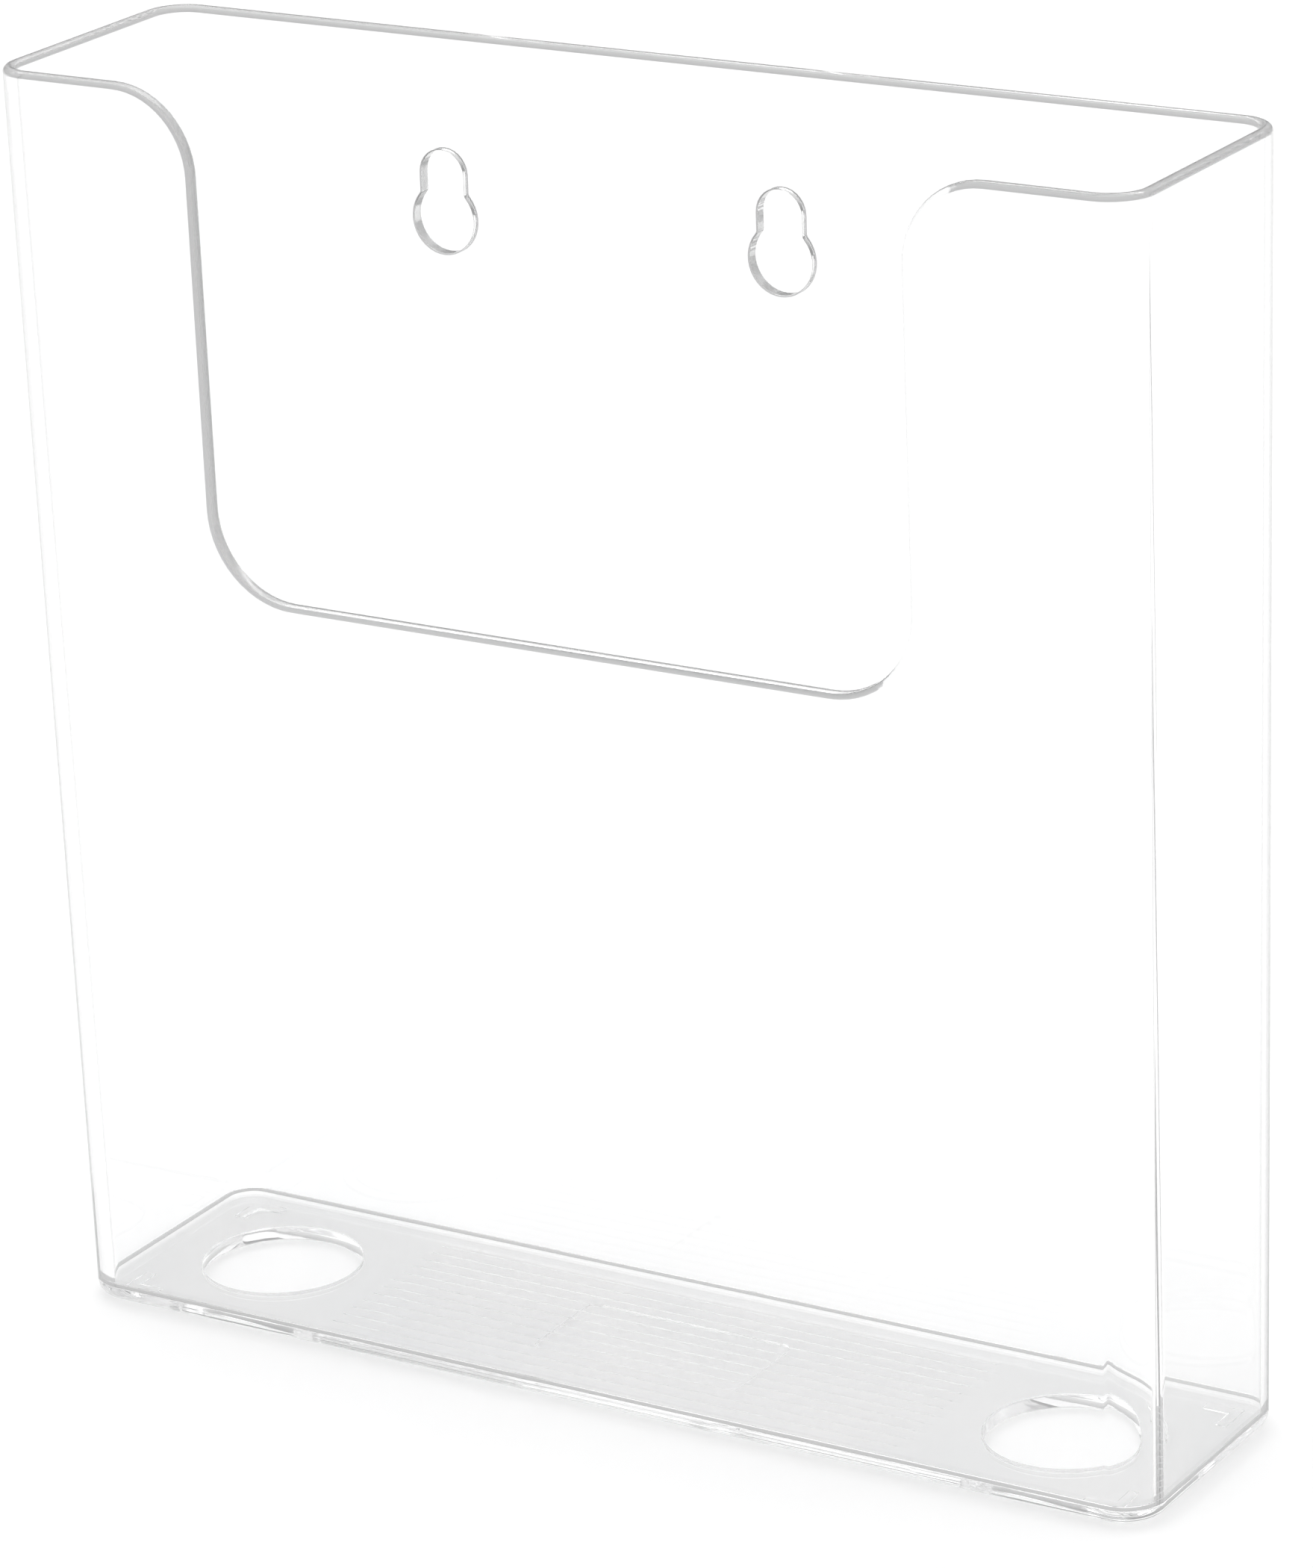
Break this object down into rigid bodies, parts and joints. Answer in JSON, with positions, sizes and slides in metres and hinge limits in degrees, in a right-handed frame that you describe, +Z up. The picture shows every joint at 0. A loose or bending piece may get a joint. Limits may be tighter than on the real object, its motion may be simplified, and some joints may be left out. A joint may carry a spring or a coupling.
{
  "type": "magazine rack",
  "caption": "Clear plastic magazine and leaflet pocket with a front hand opening, keyholes in the back wall and a ribbed base with round holes.",
  "frame": {"origin": "on the surface it stands on, under the middle of the pocket", "axes": "+X to the viewer's right across the width, +Y from the front wall to the back wall, +Z up"},
  "size_m": [0.23, 0.0578, 0.2404],
  "materials": {
    "clear_shell": "clear, polished",
    "clear_base": "clear, polished"
  },
  "bodies": {
    "root": {"wall_shell": "clear_shell", "base_plate": "clear_base"}
  },
  "joints": []
}
